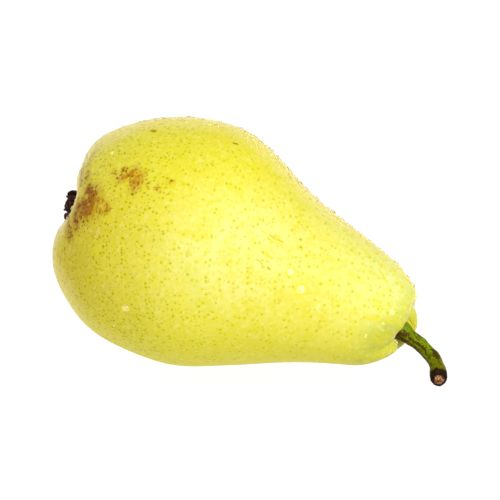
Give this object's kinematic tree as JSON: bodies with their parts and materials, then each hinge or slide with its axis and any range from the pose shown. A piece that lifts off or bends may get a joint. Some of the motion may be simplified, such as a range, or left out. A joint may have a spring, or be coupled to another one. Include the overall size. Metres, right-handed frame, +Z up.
{
  "type": "pear",
  "caption": "Whole ripe yellow-green pear lying on its side, with a short curved stalk and a dried calyx.",
  "frame": {"origin": "on the surface that the pear lies on, under the middle of its bounding box", "axes": "+Z up from the surface it lies on, +X from the calyx end to the stalk end, the pear's longest extent"},
  "size_m": [0.1106, 0.0668, 0.0662],
  "materials": {
    "skin": "satin",
    "stalk": "satin",
    "calyx": "matte"
  },
  "bodies": {
    "root": {"fruit": "skin", "stalk": "stalk", "calyx": "calyx"}
  },
  "joints": []
}
